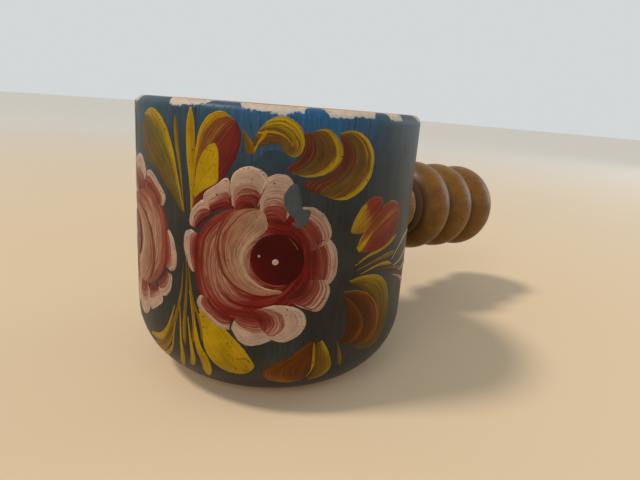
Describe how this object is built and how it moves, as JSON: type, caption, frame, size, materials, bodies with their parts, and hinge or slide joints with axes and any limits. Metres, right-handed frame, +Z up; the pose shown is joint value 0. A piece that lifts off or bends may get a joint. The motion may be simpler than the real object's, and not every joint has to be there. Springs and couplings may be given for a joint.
{
  "type": "screw nutcracker",
  "caption": "Turned wooden cup with a coarse wooden screw through its wall, driven by a beaded grip to crack a nut against the far wall; painted outside, bare rim.",
  "frame": {"origin": "centre of the flat face that the cup stands on", "axes": "+Z up the cup, +X the way the screw leaves the cup towards its grip"},
  "size_m": [0.1278, 0.066, 0.063],
  "materials": {
    "painted_cup": "satin oil paint, floral strokes, worn rim",
    "bare_wood": "bare cut thread, waxed",
    "varnished_grip": "gloss amber varnish",
    "dowel_wood": "bare"
  },
  "bodies": {
    "cup": {"cup": "painted_cup"},
    "carrier": {"dowel": "dowel_wood"},
    "screw": {"screw": "bare_wood", "grip": "varnished_grip"}
  },
  "joints": [
    {"name": "screw_travel", "type": "slide", "parent": "cup", "child": "carrier", "axis": [0.9963, 0, -0.0854], "range_m": [-0.014, 0.034]},
    {"name": "screw_turn", "type": "hinge", "parent": "carrier", "child": "screw", "pos_m": [0.02875, 0, 0.0364], "axis": [0.9963, 0, -0.0854], "range_deg": [-1009, 2449]}
  ],
  "couplings": [
    {"joint": "screw_turn", "follows": "screw_travel", "rad_per_m": 1256.6}
  ]
}
